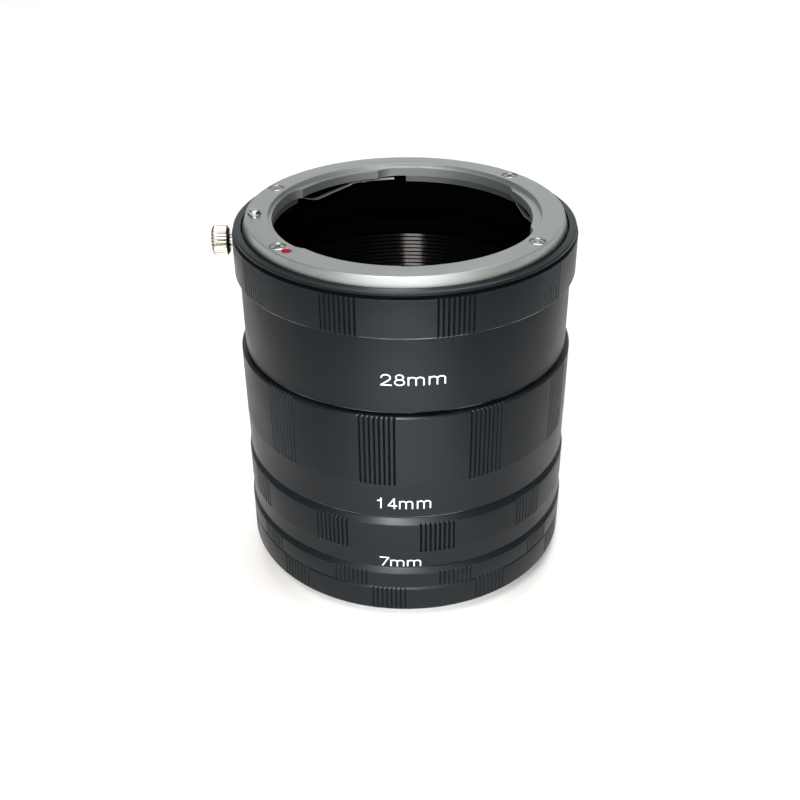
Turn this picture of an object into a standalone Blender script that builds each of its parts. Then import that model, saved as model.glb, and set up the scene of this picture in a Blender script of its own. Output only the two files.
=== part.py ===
"""Macro extension tube: a stack of threaded tubes between two bayonet mounts.

The optical axis stands upright. The lens side, with the female bayonet and the
lock pin, is on top. The stack stands on the end of its male bayonet.
"""
import math

import bmesh
import bpy
from mathutils import Matrix, Vector

mm = 0.001

# Gaps between pieces that seat on, or run in, one another
joint_gap = 0.3 * mm
seat_gap = 0.3 * mm
screw_clearance = 0.15 * mm
running_clearance = 0.2 * mm

# How far a cutter reaches past the face that it opens
cut_past = 1 * mm
empty_size = 10 * mm

# Outer radii of the turned bodies; every other radius follows from the grip
grip_radius = 32.5 * mm
tube_28_step = 0.85 * mm
tube_7_step = 0.25 * mm
camera_end_step = 0.5 * mm
strip_relief = 0.06 * mm
tube_28_radius = grip_radius - tube_28_step
tube_7_radius = grip_radius + tube_7_step
camera_end_radius = grip_radius + camera_end_step

# Lengths along the axis, without the threaded spigots
camera_ring_length = 5.5 * mm
adapter_ring_length = 4.4 * mm
tube_7_length = 11.45 * mm
tube_14_length = 22.05 * mm
tube_28_length = 14.75 * mm
lens_ring_length = 8.6 * mm

# Plain strips under the knurled bands, which carry the size markings
tube_7_strip = 3.85 * mm
tube_14_strip = 7.45 * mm
edge_chamfer = 0.25 * mm
tube_14_top_chamfer = 0.35 * mm
cone_height = 1.25 * mm
cone_width = 1.15 * mm
adapter_cone_height = 1.0 * mm
adapter_cone_width = 0.7 * mm

# Threaded joints, with the thread itself left out
tube_wall = 4.5 * mm
spigot_wall = 1.9 * mm
thread_clearance = 0.3 * mm
thread_length = 3.4 * mm
bore_radius = grip_radius - tube_wall
spigot_radius = bore_radius + spigot_wall
socket_radius = spigot_radius + thread_clearance

# Straight knurl, cut as V grooves in patches round each band
patch_count = 10
grooves_per_patch = 8
groove_pitch = 0.9 * mm
groove_width = 0.62 * mm
groove_depth = 0.28 * mm
tube_7_patch_angle = -115.7
tube_14_patch_angle = -99.3
lens_ring_patch_angle = -110.7
adapter_patch_angle = -109.2
camera_ring_patch_angle = -96.0

# Female bayonet plate: a flat face, a step down to the ledge, and three tabs
plate_inset = 2.1 * mm
plate_thickness = 2.45 * mm
plate_edge = 0.35 * mm
plate_face_above_ring = 1.75 * mm
plate_face_width = 4.8 * mm
plate_recess_depth = 0.7 * mm
ledge_width = 0.65 * mm
tab_reach = 1.05 * mm
tab_count = 3
first_tab_angle = 5.6
tab_width_deg = 44.5
gap_cutter_radius = 6.5 * mm
plate_radius = grip_radius - plate_inset
plate_recess_radius = plate_radius - plate_face_width
plate_bore_radius = plate_recess_radius - ledge_width
tab_radius = plate_bore_radius - tab_reach

# Collar under the plate, with a window behind each tab
collar_step = 0.15 * mm
collar_wall = 0.8 * mm
collar_depth = 1.2 * mm
window_low_deg = -36.3
window_high_deg = 22.6
window_relief = 0.1 * mm
collar_radius = plate_bore_radius + collar_step

# Bore of the lens ring, under the plate
lip_step = 0.3 * mm
lip_thickness = 1.1 * mm
chamber_step = 0.6 * mm
chamber_floor = 0.6 * mm
shadow_groove_width = 0.3 * mm
shadow_groove_depth = 0.8 * mm
rim_inset = 0.35 * mm
lip_radius = collar_radius + lip_step
chamber_radius = lip_radius + chamber_step

# Countersunk screws of both plates
screw_inset = 2.5 * mm
screw_angles = (40.6, 155.0, 217.3, 326.3)
screw_turn_deg = 20
screw_head_radius = 1.4 * mm
screw_head_height = 0.75 * mm
screw_shank_radius = 0.8 * mm
screw_length = 4.6 * mm
screw_sink = 0.06 * mm
cross_length = 1.5 * mm
cross_width = 0.4 * mm
cross_depth = 0.45 * mm
screw_circle = plate_radius - screw_inset

# Index mark, beside the third screw
index_spacing = 2.73 * mm
index_radius = 0.85 * mm
index_depth = 0.15 * mm
index_angle = screw_angles[2] + math.degrees(index_spacing / screw_circle)

# Leaf springs under the tabs
leaf_inset = 0.3 * mm
leaf_width = 0.9 * mm
leaf_thickness = 0.25 * mm
leaf_bow = 1.5 * mm
leaf_hook_deg = 20.5
leaf_low_deg = 9.3
leaf_foot_deg = -9.4
leaf_end_deg = -30.5
rivet_deg = -15.3
rivet_radius = 0.28 * mm
rivet_head_radius = 0.5 * mm
rivet_head_height = 0.25 * mm
rivet_depth = 0.9 * mm
leaf_inner = tab_radius + leaf_inset
leaf_outer = leaf_inner + leaf_width
leaf_middle = leaf_inner + leaf_width / 2

# Lock pin and its release knob
lock_angle = 183.5
lock_inset = 2.35 * mm
pin_radius = 1.05 * mm
pin_edge = 0.2 * mm
pin_body_radius = 1.25 * mm
pin_body_length = 3.6 * mm
pin_proud = 0.85 * mm
pin_travel = 1.4 * mm
pin_spring_length = 2.6 * mm
pin_spring_wire = 0.12 * mm
pin_spring_turns = 3.5
knob_drop = 2.35 * mm
knob_radius = 2.85 * mm
knob_length = 3.3 * mm
knob_stand_off = 0.8 * mm
knob_ribs = 24
knob_rib_depth = 0.2 * mm
knob_edge = 0.4 * mm
knob_round = 1.0 * mm
stem_radius = 1.05 * mm
stem_tip_radius = 0.7 * mm
lock_circle = plate_radius - lock_inset

# Male bayonet plate on the camera side
flange_thickness = 1.4 * mm
flange_proud = 0.9 * mm
neck_clearance = 0.3 * mm
neck_wall = 1.8 * mm
bayonet_length = 5.0 * mm
male_tab_clearance = 0.15 * mm
male_tab_top = 2.5 * mm
male_tab_thickness = 1.7 * mm
male_tab_width_deg = 48.0
male_relief = 0.15 * mm
first_male_tab_angle = 65.0
camera_screw_inset = 3.3 * mm
camera_screw_length = 2.7 * mm
web_step = 1.0 * mm
neck_radius = tab_radius - neck_clearance
neck_bore = neck_radius - neck_wall
male_tab_radius = plate_bore_radius - male_tab_clearance
camera_screw_circle = plate_radius - camera_screw_inset

# Numbers of sides on turned pieces
ring_sides = 40
small_sides = 12
rivet_sides = 8

# Heights of the seats, worked up from the floor
camera_ring_z = flange_proud + bayonet_length
camera_ring_top = camera_ring_z + camera_ring_length
adapter_ring_z = camera_ring_top + joint_gap
adapter_ring_top = adapter_ring_z + adapter_ring_length
tube_7_z = adapter_ring_top + joint_gap
tube_7_top = tube_7_z + tube_7_length
tube_14_z = tube_7_top + joint_gap
tube_14_top = tube_14_z + tube_14_length
tube_28_z = tube_14_top + joint_gap
tube_28_top = tube_28_z + tube_28_length
lens_ring_z = tube_28_top + joint_gap
lens_ring_top = lens_ring_z + lens_ring_length
plate_top = lens_ring_top + plate_face_above_ring
plate_z = plate_top - plate_thickness
plate_seat_z = plate_z - seat_gap
collar_z = plate_z - collar_depth
tab_bottom = plate_z + window_relief
leaf_z = tab_bottom - seat_gap - leaf_thickness / 2
knob_z = plate_seat_z - knob_drop
pin_body_z = plate_seat_z - pin_body_length
pin_bore_floor = pin_body_z - pin_spring_length - 2 * running_clearance

# The release knob reaches out on one side, so the axis stands off the middle
knob_head_in = grip_radius + knob_stand_off
knob_reach = knob_head_in + knob_length
axis_x = (knob_reach - camera_end_radius) / 2


def clear_scene():
    for old in list(bpy.data.objects):
        bpy.data.objects.remove(old, do_unlink=True)


def finish(name, colour, roughness, metallic):
    """A plain Principled material."""
    mat = bpy.data.materials.new(name)
    mat.use_nodes = True
    shader = mat.node_tree.nodes["Principled BSDF"]
    shader.inputs["Base Color"].default_value = (*colour, 1.0)
    shader.inputs["Roughness"].default_value = roughness
    shader.inputs["Metallic"].default_value = metallic
    return mat


def polar(radius, degrees, z=0.0):
    angle = math.radians(degrees)
    return Vector((radius * math.cos(angle), radius * math.sin(angle), z))


def turned(profile, sides, first_angle=0.0):
    """Turn a closed outline of (radius, z) points; a radius of 0 is a point on the axis."""
    bm = bmesh.new()
    rows = []
    for radius, z in profile:
        if radius == 0.0:
            rows.append([bm.verts.new((0.0, 0.0, z))])
        else:
            rows.append([
                bm.verts.new(polar(radius, first_angle + 360.0 * i / sides, z))
                for i in range(sides)
            ])
    for here, there in zip(rows, rows[1:] + rows[:1]):
        if len(here) == 1 and len(there) == 1:
            continue
        for i in range(sides):
            j = (i + 1) % sides
            corners = [here[i % len(here)], here[j % len(here)],
                       there[j % len(there)], there[i % len(there)]]
            bm.faces.new(list(dict.fromkeys(corners)))
    bmesh.ops.recalc_face_normals(bm, faces=bm.faces)
    return bm


def prism(outline, z_low, z_high, bm=None):
    """Extrude a flat outline of (x, y) points."""
    bm = bm or bmesh.new()
    low = [bm.verts.new((x, y, z_low)) for x, y in outline]
    high = [bm.verts.new((x, y, z_high)) for x, y in outline]
    bm.faces.new(low[::-1])
    bm.faces.new(high)
    for i, corner in enumerate(low):
        j = (i + 1) % len(low)
        bm.faces.new((corner, low[j], high[j], high[i]))
    bmesh.ops.recalc_face_normals(bm, faces=bm.faces)
    return bm


def make_object(name, bm, mat=None, parent=None, location=(0, 0, 0)):
    mesh = bpy.data.meshes.new(name)
    bm.to_mesh(mesh)
    bm.free()
    obj = bpy.data.objects.new(name, mesh)
    bpy.context.scene.collection.objects.link(obj)
    obj.parent = parent
    obj.location = location
    if mat:
        mesh.materials.append(mat)
        mesh.shade_smooth()
        mesh.set_sharp_from_angle(angle=math.radians(25))
    return obj


def cutter(name, bm, parent, location=(0, 0, 0)):
    obj = make_object(name, bm, parent=parent, location=location)
    obj.hide_render = True
    obj.display_type = "WIRE"
    return obj


def cut(target, tool):
    step = target.modifiers.new(tool.name, "BOOLEAN")
    step.operation = "DIFFERENCE"
    step.object = tool


def empty(name, parent=None, location=(0, 0, 0)):
    obj = bpy.data.objects.new(name, None)
    obj.empty_display_size = empty_size
    bpy.context.scene.collection.objects.link(obj)
    obj.parent = parent
    obj.location = location
    return obj


def knurl(target, radius, z_low, z_high, patch_angle):
    """Cut the straight knurl: patches of V grooves with plain panels between them."""
    bm = bmesh.new()
    reach = groove_depth
    half = groove_width / 2 * (groove_depth + reach) / groove_depth
    pitch_deg = math.degrees(groove_pitch / radius)
    for patch in range(patch_count):
        middle = patch_angle + 360.0 * patch / patch_count
        for groove in range(grooves_per_patch):
            angle = middle + (groove - (grooves_per_patch - 1) / 2) * pitch_deg
            turn = Matrix.Rotation(math.radians(angle), 2)
            section = [(radius - groove_depth, 0), (radius + reach, -half), (radius + reach, half)]
            prism([turn @ Vector(point) for point in section], z_low, z_high, bm)
    cut(target, cutter(target.name + "_knurl_cutter", bm, target.parent))


def socket_and_spigot(z_low, z_top):
    """Inner half of a tube's outline: down the socket and the bore, and round the spigot."""
    return [
        (socket_radius, z_top),
        (socket_radius, z_top - thread_length),
        (bore_radius, z_top - thread_length),
        (bore_radius, z_low - thread_length),
        (spigot_radius, z_low - thread_length),
        (spigot_radius, z_low),
    ]


def build_tube_28(mat, parent):
    outline = [
        (tube_28_radius - edge_chamfer, tube_28_z),
        (tube_28_radius, tube_28_z + edge_chamfer),
        (tube_28_radius, tube_28_top),
    ] + socket_and_spigot(tube_28_z, tube_28_top)
    return make_object("tube_28mm", turned(outline, ring_sides), mat, parent)


def build_tube_14(mat, parent):
    band_low = tube_14_z + tube_14_strip
    outline = [
        (grip_radius - strip_relief - edge_chamfer, tube_14_z),
        (grip_radius - strip_relief, tube_14_z + edge_chamfer),
        (grip_radius - strip_relief, band_low),
        (grip_radius, band_low),
        (grip_radius, tube_14_top - tube_14_top_chamfer),
        (grip_radius - tube_14_top_chamfer, tube_14_top),
    ] + socket_and_spigot(tube_14_z, tube_14_top)
    tube = make_object("tube_14mm", turned(outline, ring_sides, tube_14_patch_angle), mat, parent)
    knurl(tube, grip_radius, band_low + 2 * strip_relief, tube_14_top + joint_gap, tube_14_patch_angle)
    return tube


def build_tube_7(mat, parent):
    band_low = tube_7_z + tube_7_strip
    outline = [
        (tube_7_radius - strip_relief - edge_chamfer, tube_7_z),
        (tube_7_radius - strip_relief, tube_7_z + edge_chamfer),
        (tube_7_radius - strip_relief, band_low),
        (tube_7_radius, band_low),
        (tube_7_radius, tube_7_top - cone_height),
        (tube_7_radius - cone_width, tube_7_top),
    ] + socket_and_spigot(tube_7_z, tube_7_top)
    tube = make_object("tube_7mm", turned(outline, ring_sides, tube_7_patch_angle), mat, parent)
    knurl(tube, tube_7_radius, band_low + 2 * strip_relief, tube_7_top + joint_gap, tube_7_patch_angle)
    return tube


def build_adapter_ring(mat, parent):
    outline = [
        (camera_end_radius - edge_chamfer, adapter_ring_z),
        (camera_end_radius, adapter_ring_z + edge_chamfer),
        (camera_end_radius, adapter_ring_top - adapter_cone_height),
        (camera_end_radius - adapter_cone_width, adapter_ring_top),
    ] + socket_and_spigot(adapter_ring_z, adapter_ring_top)
    ring = make_object("camera_adapter_ring", turned(outline, ring_sides, adapter_patch_angle), mat, parent)
    knurl(ring, camera_end_radius, adapter_ring_z - joint_gap, adapter_ring_top + joint_gap,
          adapter_patch_angle)
    return ring


def build_camera_ring(mat, parent):
    """The lowest ring: a threaded socket above, and a seat for the male bayonet below."""
    recess_top = camera_ring_z + flange_thickness - flange_proud + seat_gap
    recess_radius = plate_radius + seat_gap
    web_bore = neck_radius + web_step
    outline = [
        (recess_radius, camera_ring_z),
        (camera_end_radius - edge_chamfer, camera_ring_z),
        (camera_end_radius, camera_ring_z + edge_chamfer),
        (camera_end_radius, camera_ring_top - edge_chamfer),
        (camera_end_radius - edge_chamfer, camera_ring_top),
        (socket_radius, camera_ring_top),
        (socket_radius, camera_ring_top - thread_length),
        (web_bore, camera_ring_top - thread_length),
        (web_bore, recess_top),
        (recess_radius, recess_top),
    ]
    ring = make_object("camera_mount_ring", turned(outline, ring_sides, camera_ring_patch_angle),
                       mat, parent)
    knurl(ring, camera_end_radius, camera_ring_z - joint_gap, camera_ring_top + joint_gap,
          camera_ring_patch_angle)
    holes = bmesh.new()
    for angle in screw_angles:
        add_bar(holes, screw_shank_radius + screw_clearance, camera_ring_z, camera_ring_top,
                polar(camera_screw_circle, angle))
    cut(ring, cutter("camera_ring_screw_holes", holes, parent))
    return ring


def add_bar(bm, radius, z_low, z_high, place, sides=small_sides):
    """Add an upright round bar to a mesh of cutters."""
    outline = [(place.x + p.x, place.y + p.y)
               for p in (polar(radius, 360.0 * i / sides) for i in range(sides))]
    prism(outline, z_low, z_high, bm)


def build_lens_ring(mat, parent):
    """The top ring: plate seat, knurled wall, bayonet chamber, lock pin bore and knob slot."""
    wall_top = lens_ring_top - 2 * shadow_groove_width
    rim_radius = grip_radius - rim_inset
    collar_bore = collar_radius + collar_wall + seat_gap
    lip_top = collar_z - seat_gap
    outline = [
        (grip_radius - edge_chamfer, lens_ring_z),
        (grip_radius, lens_ring_z + edge_chamfer),
        (grip_radius, wall_top),
        (grip_radius - shadow_groove_depth, wall_top),
        (grip_radius - shadow_groove_depth, wall_top + shadow_groove_width),
        (rim_radius, wall_top + shadow_groove_width),
        (rim_radius, lens_ring_top),
        (plate_radius + seat_gap, lens_ring_top),
        (plate_radius + seat_gap, plate_seat_z),
        (collar_bore, plate_seat_z),
        (collar_bore, lip_top),
        (lip_radius, lip_top),
        (lip_radius, lip_top - lip_thickness),
        (chamber_radius, lip_top - lip_thickness),
        (chamber_radius, lens_ring_z + chamber_floor),
        (bore_radius, lens_ring_z),
        (bore_radius, lens_ring_z - thread_length),
        (spigot_radius, lens_ring_z - thread_length),
        (spigot_radius, lens_ring_z),
    ]
    ring = make_object("lens_mount_ring", turned(outline, ring_sides, lens_ring_patch_angle), mat, parent)
    knurl(ring, grip_radius, lens_ring_z - joint_gap, wall_top + shadow_groove_width / 2,
          lens_ring_patch_angle)
    holes = bmesh.new()
    hole_floor = plate_top - screw_length - seat_gap
    for angle in screw_angles:
        add_bar(holes, screw_shank_radius + screw_clearance, hole_floor, lens_ring_top,
                polar(screw_circle, angle))
    cut(ring, cutter("lens_ring_screw_holes", holes, parent))
    bore = bmesh.new()
    add_bar(bore, pin_body_radius + running_clearance, pin_bore_floor, lens_ring_top,
            polar(lock_circle, lock_angle))
    cut(ring, cutter("lock_pin_bore", bore, parent))
    cut(ring, cutter("knob_slot", knob_slot(), parent))
    return ring


def knob_slot():
    """A slot with round ends through the ring's wall, as long as the knob's travel."""
    half_width = stem_radius + seat_gap
    high = [polar(half_width, 180.0 * i / 8) for i in range(9)]
    low = [polar(half_width, 180.0 + 180.0 * i / 8) - Vector((0, pin_travel, 0)) for i in range(9)]
    bm = prism([(p.x, p.y) for p in high + low], lock_circle, knob_reach)
    lay_radial = (Matrix.Rotation(math.radians(lock_angle + 90), 4, "Z")
                  @ Matrix.Rotation(math.radians(90), 4, "X"))
    bmesh.ops.transform(bm, matrix=Matrix.Translation((0, 0, knob_z)) @ lay_radial, verts=bm.verts)
    return bm


def add_gap(bm, low_deg, high_deg):
    """Add the cutter of one bayonet gap, with the wide corners that a milling cutter leaves."""
    swing = math.acos(1 - tab_reach / gap_cutter_radius)
    corner_steps = 4
    ends = []
    for i in range(corner_steps + 1):
        turn = swing * (1 - i / corner_steps)
        along = gap_cutter_radius * (math.sin(swing) - math.sin(turn))
        radius = plate_bore_radius - gap_cutter_radius * (1 - math.cos(turn))
        ends.append((math.degrees(along / plate_bore_radius), radius))
    arc_steps = 6
    corner_deg = ends[-1][0]
    arc_deg = high_deg - low_deg - 2 * corner_deg
    points = [polar(radius, low_deg + turn) for turn, radius in ends]
    points += [polar(plate_bore_radius, low_deg + corner_deg + arc_deg * i / arc_steps)
               for i in range(1, arc_steps)]
    points += [polar(radius, high_deg - turn) for turn, radius in reversed(ends)]
    points += [polar(neck_bore, high_deg), polar(neck_bore, (low_deg + high_deg) / 2),
               polar(neck_bore, low_deg)]
    prism([(p.x, p.y) for p in points], plate_z - cut_past, plate_top + cut_past, bm)


def add_sector(bm, inner, outer, low_deg, high_deg, z_low, z_high):
    """Add the cutter of a part of a ring."""
    steps = 10
    turns = [low_deg + (high_deg - low_deg) * i / steps for i in range(steps + 1)]
    points = [polar(inner, turn) for turn in turns] + [polar(outer, turn) for turn in reversed(turns)]
    prism([(p.x, p.y) for p in points], z_low, z_high, bm)


def build_lens_plate(mat, parent):
    """The female bayonet: a turned plate with a collar, milled through between its three tabs."""
    ledge = plate_top - plate_recess_depth
    collar_outer = collar_radius + collar_wall
    outline = [
        (plate_radius, plate_z),
        (plate_radius, plate_top - plate_edge),
        (plate_radius - 0.3 * plate_edge, plate_top - 0.3 * plate_edge),
        (plate_radius - plate_edge, plate_top),
        (plate_recess_radius, plate_top),
        (plate_recess_radius, ledge),
        (tab_radius, ledge),
        (tab_radius, plate_z),
        (collar_radius, plate_z),
        (collar_radius, collar_z),
        (collar_outer, collar_z),
        (collar_outer, plate_z),
    ]
    plate = make_object("lens_mount_plate", turned(outline, ring_sides), mat, parent)
    gaps = bmesh.new()
    pitch = 360.0 / tab_count
    for tab in range(tab_count):
        middle = first_tab_angle + pitch * (tab + 0.5)
        half = (pitch - tab_width_deg) / 2
        add_gap(gaps, middle - half, middle + half)
    cut(plate, cutter("bayonet_gap_cutter", gaps, parent))
    windows = bmesh.new()
    for tab in range(tab_count):
        middle = first_tab_angle + pitch * tab
        add_sector(windows, tab_radius - cut_past, collar_outer + seat_gap, middle + window_low_deg,
                   middle + window_high_deg, collar_z - cut_past, tab_bottom)
    cut(plate, cutter("collar_window_cutter", windows, parent))
    holes = bmesh.new()
    for angle in screw_angles:
        bar = turned(countersink(), small_sides)
        bmesh.ops.translate(bar, verts=bar.verts, vec=polar(screw_circle, angle, plate_top))
        append(holes, bar)
    add_bar(holes, pin_radius + running_clearance, plate_z - cut_past, plate_top + cut_past,
            polar(lock_circle, lock_angle))
    add_bar(holes, index_radius, plate_top - index_depth, plate_top + cut_past,
            polar(screw_circle, index_angle))
    cut(plate, cutter("lens_plate_holes", holes, parent))
    rivets = bmesh.new()
    for tab in range(tab_count):
        add_bar(rivets, rivet_radius + screw_clearance / 2, plate_z - cut_past,
                tab_bottom + rivet_depth + running_clearance,
                polar(leaf_middle, first_tab_angle + pitch * tab + rivet_deg), rivet_sides)
    cut(plate, cutter("rivet_holes", rivets, parent))
    return plate


def append(bm, other):
    """Move one mesh's faces into another."""
    mesh = bpy.data.meshes.new("scratch")
    other.to_mesh(mesh)
    other.free()
    bm.from_mesh(mesh)
    bpy.data.meshes.remove(mesh)


def countersink():
    """Outline of the hole for a countersunk screw, with its top at z 0."""
    head = screw_head_radius + screw_clearance
    shank = screw_shank_radius + screw_clearance
    return [
        (0.0, -plate_thickness - cut_past),
        (shank, -plate_thickness - cut_past),
        (shank, -screw_head_height),
        (head, -screw_sink),
        (head, cut_past),
        (0.0, cut_past),
    ]


def screw_mesh(name, length, mat):
    """A countersunk cross-head screw, top at z 0."""
    slope = screw_head_radius - screw_shank_radius
    outline = [
        (0.0, -length),
        (screw_shank_radius, -length),
        (screw_shank_radius, -screw_head_height),
        (screw_shank_radius + slope, -2 * screw_sink),
        (screw_head_radius, -screw_sink),
        (0.0, -screw_sink),
    ]
    body = make_object(name, turned(outline, small_sides), mat)
    half, arm = cross_width / 2, cross_length / 2
    plus = [(arm, -half), (arm, half), (half, half), (half, arm), (-half, arm), (-half, half),
            (-arm, half), (-arm, -half), (-half, -half), (-half, -arm), (half, -arm), (half, -half)]
    recess = cutter(name + "_cross", prism(plus, -screw_sink - cross_depth, cut_past), None)
    cut(body, recess)
    return body, recess


def build_screws(names, circle, z, length, mat, parent, head_up=True):
    for name, angle in zip(names, screw_angles):
        body, recess = screw_mesh(name, length, mat)
        for obj in (body, recess):
            obj.parent = parent
            obj.location = polar(circle, angle, z)
            obj.rotation_euler = (0.0 if head_up else math.pi, 0.0, math.radians(angle + screw_turn_deg))


def build_leaf_springs(mat, parent):
    """Bowed strips under the tabs, each with a flat foot held by a rivet."""
    stations = 18
    pitch = 360.0 / tab_count
    for tab in range(tab_count):
        bm = bmesh.new()
        rows = []
        for i in range(stations + 1):
            offset = leaf_hook_deg + (leaf_end_deg - leaf_hook_deg) * i / stations
            angle = first_tab_angle + pitch * tab + offset
            low = leaf_z - leaf_bow * leaf_shape(offset) - leaf_thickness / 2
            high = low + leaf_thickness
            section = [(leaf_inner, low), (leaf_outer, low), (leaf_outer, high), (leaf_inner, high)]
            rows.append([bm.verts.new(polar(radius, angle, z)) for radius, z in section])
        for here, there in zip(rows, rows[1:]):
            for i in range(4):
                j = (i + 1) % 4
                bm.faces.new((here[i], here[j], there[j], there[i]))
        bm.faces.new(rows[0])
        bm.faces.new(rows[-1][::-1])
        bmesh.ops.recalc_face_normals(bm, faces=bm.faces)
        spring = make_object(f"leaf_spring_{tab + 1}", bm, mat, parent)
        hole = bmesh.new()
        add_bar(hole, rivet_radius + screw_clearance / 2, leaf_z - cut_past, leaf_z + cut_past,
                polar(leaf_middle, first_tab_angle + pitch * tab + rivet_deg), rivet_sides)
        cut(spring, cutter(f"leaf_hole_{tab + 1}", hole, parent))


def leaf_shape(offset):
    """Share of the bow at an angle from the tab's middle: steep to the hook, long to the foot."""
    if offset <= leaf_foot_deg:
        return 0.0
    if offset >= leaf_low_deg:
        share = (leaf_hook_deg - offset) / (leaf_hook_deg - leaf_low_deg)
        return math.sin(share * math.pi / 2)
    share = (offset - leaf_foot_deg) / (leaf_low_deg - leaf_foot_deg)
    return share ** 0.65


def build_rivets(mat, parent):
    head_top = leaf_z - leaf_thickness / 2 - running_clearance / 2
    tip = tab_bottom + rivet_depth
    outline = [
        (0.0, head_top - rivet_head_height),
        (0.6 * rivet_head_radius, head_top - rivet_head_height),
        (rivet_head_radius, head_top - rivet_head_height / 2),
        (rivet_head_radius, head_top),
        (rivet_radius, head_top),
        (rivet_radius, tip),
        (0.0, tip),
    ]
    for tab in range(tab_count):
        angle = first_tab_angle + 360.0 / tab_count * tab + rivet_deg
        make_object(f"spring_rivet_{tab + 1}", turned(outline, rivet_sides), mat, parent,
                    polar(leaf_middle, angle))


def build_lock_pin(mat, parent):
    """A stepped pin; its body carries the knob's stem in a cross hole."""
    foot = pin_body_z - knob_z
    shoulder = plate_seat_z - knob_z
    tip = plate_top + pin_proud - knob_z
    outline = [
        (0.0, foot),
        (pin_body_radius, foot),
        (pin_body_radius, shoulder),
        (pin_radius, shoulder),
        (pin_radius, tip - pin_edge),
        (pin_radius - pin_edge, tip),
        (0.0, tip),
    ]
    place = polar(lock_circle, lock_angle)
    pin = make_object("lock_pin", turned(outline, small_sides), mat, parent, place)
    hole = bmesh.new()
    reach = pin_body_radius + cut_past
    add_bar(hole, stem_tip_radius + screw_clearance, -reach, reach, Vector((0, 0, 0)))
    hole_tool = cutter("pin_cross_hole", hole, parent, place)
    hole_tool.rotation_euler = (0.0, math.radians(90), math.radians(lock_angle))
    cut(pin, hole_tool)


def build_pin_spring(mat, parent):
    """The coil under the lock pin."""
    coil_radius = pin_body_radius - 2 * pin_spring_wire
    low = pin_bore_floor + running_clearance + pin_spring_wire
    rise = pin_spring_length - 2 * pin_spring_wire
    steps = int(pin_spring_turns * 8)
    path = [polar(coil_radius, 360.0 * pin_spring_turns * i / steps, low + rise * i / steps)
            for i in range(steps + 1)]
    curve = bpy.data.curves.new("lock_pin_spring", "CURVE")
    curve.dimensions = "3D"
    curve.bevel_depth = pin_spring_wire
    curve.bevel_resolution = 0
    curve.use_fill_caps = True
    spline = curve.splines.new("POLY")
    spline.points.add(len(path) - 1)
    for point, place in zip(spline.points, path):
        point.co = (*place, 1.0)
    curve.materials.append(mat)
    spring = bpy.data.objects.new("lock_pin_spring", curve)
    bpy.context.scene.collection.objects.link(spring)
    spring.parent = parent
    spring.location = polar(lock_circle, lock_angle)


def build_release_knob(mat, parent):
    """Knurled head, stem and threaded tip, turned on a radial axis."""
    stem_start = lock_circle + pin_body_radius + running_clearance
    tip_start = lock_circle - pin_body_radius / 2
    outline = [
        (stem_tip_radius, tip_start, 0.0),
        (stem_tip_radius, stem_start, 0.0),
        (stem_radius, stem_start, 0.0),
        (stem_radius, knob_head_in, 0.0),
        (knob_radius - knob_edge, knob_head_in, 0.0),
        (knob_radius, knob_head_in + knob_edge, knob_rib_depth),
        (knob_radius, knob_reach - 0.7 * knob_round, knob_rib_depth),
        (knob_radius - 0.3 * knob_round, knob_reach - 0.25 * knob_round, knob_rib_depth / 2),
        (knob_radius - knob_round, knob_reach, 0.0),
    ]
    sides = 2 * knob_ribs
    bm = bmesh.new()
    rows = []
    for radius, reach, rib_depth in outline:
        depths = [rib_depth if i % 2 else 0.0 for i in range(sides)]
        rows.append([
            bm.verts.new(polar(radius - depth, 360.0 * i / sides, reach))
            for i, depth in enumerate(depths)
        ])
    for here, there in zip(rows, rows[1:]):
        for i in range(sides):
            j = (i + 1) % sides
            bm.faces.new((here[i], here[j], there[j], there[i]))
    bm.faces.new(rows[0][::-1])
    bm.faces.new(rows[-1])
    bmesh.ops.recalc_face_normals(bm, faces=bm.faces)
    knob = make_object("release_knob", bm, mat, parent)
    knob.rotation_euler = (0.0, math.radians(90), math.radians(lock_angle))


def build_camera_plate(mat, parent):
    """The male bayonet: a flange on the ring, and a neck with three tabs below it."""
    face = camera_ring_z - flange_proud
    tab_high = face - male_tab_top
    tab_low = tab_high - male_tab_thickness
    end = face - bayonet_length
    outline = [
        (neck_bore, end),
        (neck_radius - edge_chamfer, end),
        (neck_radius, end + edge_chamfer),
        (neck_radius, tab_low),
        (male_tab_radius, tab_low),
        (male_tab_radius, tab_high),
        (neck_radius, tab_high),
        (neck_radius, face),
        (plate_radius - edge_chamfer, face),
        (plate_radius, face + edge_chamfer),
        (plate_radius, face + flange_thickness),
        (neck_bore, face + flange_thickness),
    ]
    plate = make_object("camera_mount_plate", turned(outline, ring_sides), mat, parent)
    gaps = bmesh.new()
    pitch = 360.0 / tab_count
    for tab in range(tab_count):
        middle = first_male_tab_angle + pitch * (tab + 0.5)
        half = (pitch - male_tab_width_deg) / 2
        add_sector(gaps, neck_radius - male_relief, male_tab_radius + cut_past, middle - half, middle + half,
                   tab_low - male_relief, tab_high + male_relief)
    cut(plate, cutter("male_gap_cutter", gaps, parent))
    holes = bmesh.new()
    for angle in screw_angles:
        bar = turned(countersink(), small_sides)
        bmesh.ops.rotate(bar, verts=bar.verts, cent=(0, 0, 0), matrix=Matrix.Rotation(math.pi, 3, "X"))
        bmesh.ops.translate(bar, verts=bar.verts, vec=polar(camera_screw_circle, angle, face))
        append(holes, bar)
    add_bar(holes, pin_radius + running_clearance, face - cut_past, face + flange_thickness + cut_past,
            polar(lock_circle, lock_angle))
    cut(plate, cutter("camera_plate_holes", holes, parent))


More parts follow.
